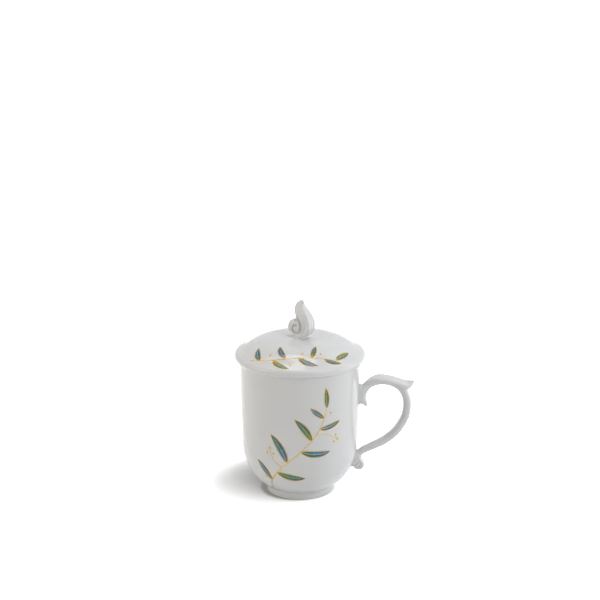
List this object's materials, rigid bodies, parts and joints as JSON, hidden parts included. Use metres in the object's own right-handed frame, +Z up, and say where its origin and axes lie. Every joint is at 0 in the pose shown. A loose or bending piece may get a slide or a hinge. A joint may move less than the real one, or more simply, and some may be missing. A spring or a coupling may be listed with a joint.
{
  "type": "lidded tea mug",
  "caption": "Porcelain tea mug with a round bowl on a foot ring, a scroll handle with a leaf thumb rest, and a loose domed lid with a scroll knob, for serving and covering a hot drink.",
  "frame": {"origin": "centre of the foot on the cup's axis, on the surface that the mug stands on", "axes": "+Z up along the cup's axis, +X from the axis towards the handle, +Y completing a right-handed frame"},
  "size_m": [0.1191, 0.0868, 0.1326],
  "materials": {
    "porcelain": "glossy clear glaze over white porcelain",
    "slip": "glossy clear glaze over fired slip"
  },
  "bodies": {
    "cup": {"cup": "porcelain", "handle": "porcelain", "upper_handle_slip": "slip", "lower_handle_slip": "slip"},
    "lid": {"lid": "porcelain", "knob": "porcelain", "knob_slip": "slip"}
  },
  "joints": [
    {"name": "lid_lift", "type": "slide", "parent": "cup", "child": "lid", "axis": [0, 0, 1], "range_m": [0, 0.08]}
  ]
}
